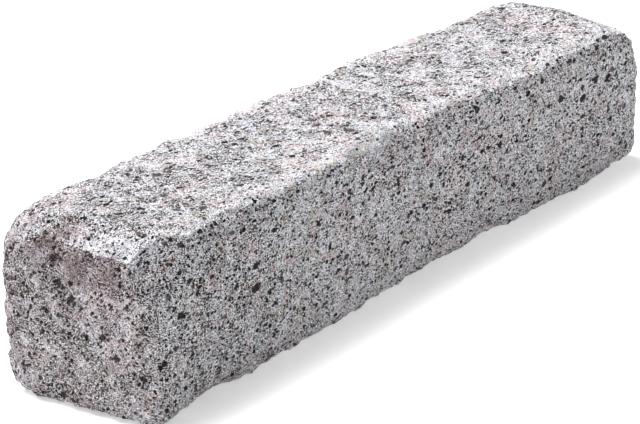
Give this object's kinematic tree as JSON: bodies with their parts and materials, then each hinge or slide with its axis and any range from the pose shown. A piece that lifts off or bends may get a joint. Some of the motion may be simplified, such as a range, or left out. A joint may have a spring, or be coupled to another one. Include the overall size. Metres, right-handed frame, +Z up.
{
  "type": "concrete wall block",
  "caption": "Long solid concrete walling block of near-square section, with tumbled, unevenly worn arrises and corners.",
  "frame": {"origin": "middle of the bed that the block lies on, at the bottom centre of the block", "axes": "+X along the block's length, +Y from its front face to its back face, +Z up from the bottom bed to the top bed"},
  "size_m": [0.6, 0.12, 0.112],
  "materials": {
    "concrete": "tumbled cast concrete, rough and pitted"
  },
  "bodies": {
    "root": {"wall_block": "concrete"}
  },
  "joints": []
}
